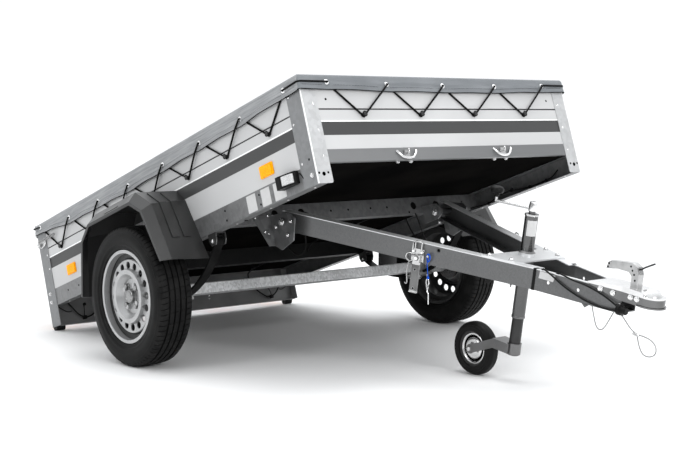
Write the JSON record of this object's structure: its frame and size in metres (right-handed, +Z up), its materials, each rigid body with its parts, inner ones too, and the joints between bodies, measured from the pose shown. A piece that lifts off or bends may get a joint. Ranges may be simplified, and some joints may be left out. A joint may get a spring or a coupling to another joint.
{
  "type": "tipping utility trailer",
  "caption": "Light single-axle utility trailer with a flat-covered sheet-metal box that tips back on its wheels, a hinged A-frame drawbar and a jockey wheel.",
  "frame": {"origin": "on the ground, below the middle of the whole trailer's bounding box", "axes": "+X forward to the coupling, +Y to the left side, +Z up"},
  "size_m": [3.052, 1.81, 1.1081],
  "materials": {
    "amber": "prismatic",
    "black_plastic": "moulded",
    "blue": "coated",
    "board": "brushed",
    "clear": "lens",
    "cover": "coated cloth",
    "floor": "coated plywood",
    "galvanised": "spangled zinc",
    "red": "prismatic",
    "rubber": "matte",
    "tyre": "matte",
    "wheel_paint": "silver paint",
    "zinc": "satin"
  },
  "bodies": {
    "chassis": {"floor_panel": "floor", "front_board": "board", "side_board_right": "board", "side_board_left": "board", "front_posts": "galvanised", "rear_posts": "galvanised", "side_rail_right": "galvanised", "side_rail_left": "galvanised", "front_crossmember": "galvanised", "rear_crossmember": "galvanised", "lamp_board": "galvanised", "rear_lamps": "red", "rear_triangles": "red", "buffers": "rubber", "gate_hinges": "galvanised", "gate_catches": "zinc", "axle_beam": "galvanised", "leaf_spring_right": "galvanised", "leaf_spring_left": "galvanised", "spring_hangers": "galvanised", "hinge_bracket_right": "galvanised", "hinge_bracket_left": "galvanised", "mudguard_right": "black_plastic", "mudguard_left": "black_plastic", "side_reflectors": "amber", "marker_housings": "rubber", "marker_lenses": "clear", "cover_knobs": "black_plastic", "cover_sheet": "cover", "cover_flap": "cover", "front_hooks": "zinc"},
    "tail_gate": {"tail_board": "board"},
    "wheel_right": {"tyre_right": "tyre", "rim_right": "wheel_paint", "hub_right": "zinc"},
    "wheel_left": {"tyre_left": "tyre", "rim_left": "wheel_paint", "hub_left": "zinc"},
    "drawbar": {"arm_right": "galvanised", "arm_left": "galvanised", "nose_plates": "galvanised", "jack_bracket": "galvanised", "coupling_head": "zinc", "coupling_handle": "zinc", "jack_outer_tube": "zinc", "jack_crank": "zinc", "toggle_latches": "zinc", "electric_cable_upper": "rubber", "electric_cable_lower": "rubber", "electric_plug": "black_plastic", "safety_cable": "zinc", "tether_wire": "zinc", "lanyard": "blue", "safety_clip": "zinc"},
    "jack_leg": {"jack_inner_tube": "zinc"},
    "jockey_swivel": {"jockey_fork": "zinc"},
    "jockey_wheel": {"jockey_tyre": "rubber", "jockey_rim": "wheel_paint"}
  },
  "joints": [
    {"name": "drawbar_hinge", "type": "hinge", "parent": "chassis", "child": "drawbar", "pos_m": [0.10389, 0, 0.56383], "axis": [0, -1, 0], "range_deg": [-5, 27.4]},
    {"name": "wheel_right_spin", "type": "hinge", "parent": "chassis", "child": "wheel_right", "pos_m": [-0.34273, -0.825, 0.2735], "axis": [0, 1, 0], "continuous": true},
    {"name": "wheel_left_spin", "type": "hinge", "parent": "chassis", "child": "wheel_left", "pos_m": [-0.34273, 0.825, 0.2735], "axis": [0, 1, 0], "continuous": true},
    {"name": "tail_gate_hinge", "type": "hinge", "parent": "chassis", "child": "tail_gate", "pos_m": [-1.4324, 0, 0.17647], "axis": [0, -1, 0], "range_deg": [0, 170], "deforming": ["cover_flap"]},
    {"name": "jack_lift", "type": "slide", "parent": "drawbar", "child": "jack_leg", "axis": [-0.1702, 0, -0.9854], "range_m": [-0.085, 0.13]},
    {"name": "jockey_swivel_turn", "type": "hinge", "parent": "jack_leg", "child": "jockey_swivel", "pos_m": [0.92178, 0, 0.42256], "axis": [0.1702, 0, 0.9854], "continuous": true},
    {"name": "jockey_wheel_spin", "type": "hinge", "parent": "jockey_swivel", "child": "jockey_wheel", "pos_m": [0.67832, 0, 0.1], "axis": [0, 1, 0], "continuous": true}
  ]
}
